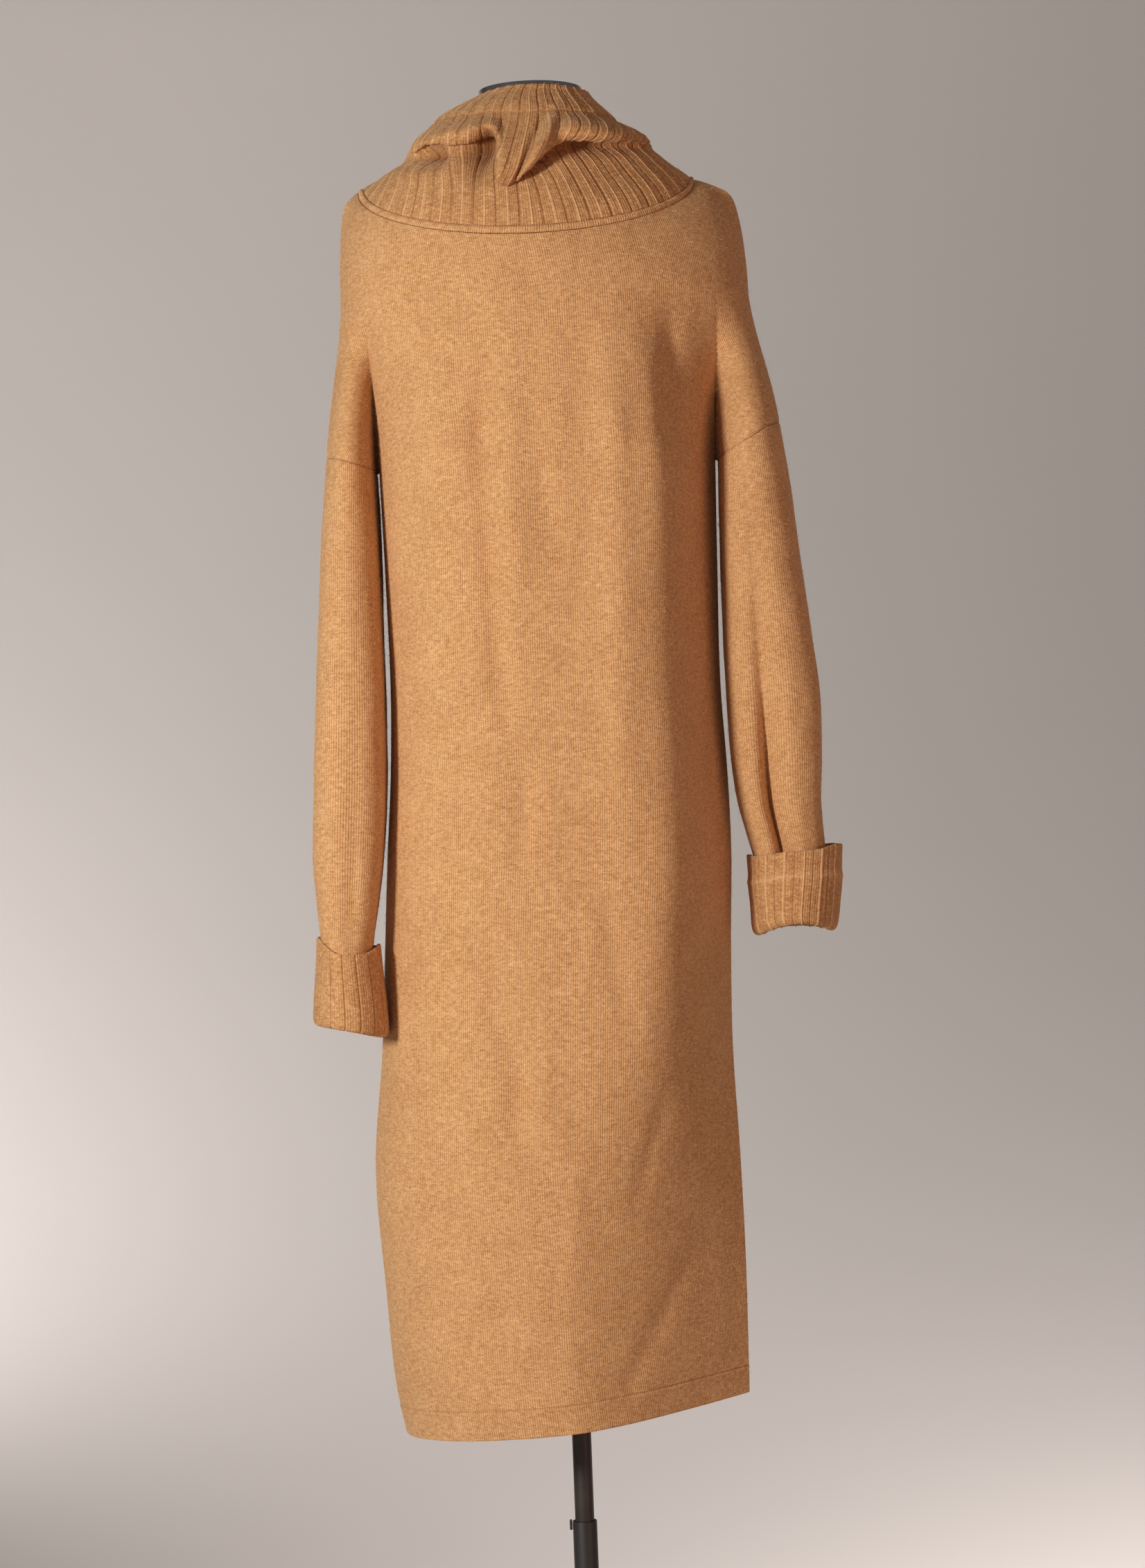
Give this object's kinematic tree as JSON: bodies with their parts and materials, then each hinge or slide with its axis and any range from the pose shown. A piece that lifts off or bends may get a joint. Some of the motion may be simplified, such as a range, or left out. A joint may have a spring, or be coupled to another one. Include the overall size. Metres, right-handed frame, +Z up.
{
  "type": "sweater dress on dress form stand",
  "caption": "Long knitted sweater dress with a slouchy rib roll collar and turned-back cuffs, worn by a limbless dress form on a pole stand.",
  "frame": {"origin": "on the floor, at the middle of the stand base's underside, under the pole", "axes": "+Z up along the pole, -Y out of the front of the dress, +X to the right of someone facing the front"},
  "size_m": [0.4909, 0.33, 1.7415],
  "materials": {
    "knit": "brushed camel stockinette knit, heathered and slightly hairy",
    "rib": "brushed camel rib knit",
    "form_cover": "dark stretched jersey over a moulded form",
    "cap": "polished metal neck cap",
    "tube_grey": "dark grey lacquered tube",
    "stand_black": "satin black"
  },
  "bodies": {
    "root": {"front_panel": "knit", "back_panel": "knit", "sleeve_left": "knit", "sleeve_right": "knit", "neck_binding": "knit", "cuff_left": "rib", "cuff_right": "rib", "collar": "rib", "form_torso": "form_cover", "neck_cap": "cap", "inner_tube": "tube_grey", "outer_tube": "stand_black", "tube_clip": "stand_black", "stand_base": "stand_black"}
  },
  "joints": []
}
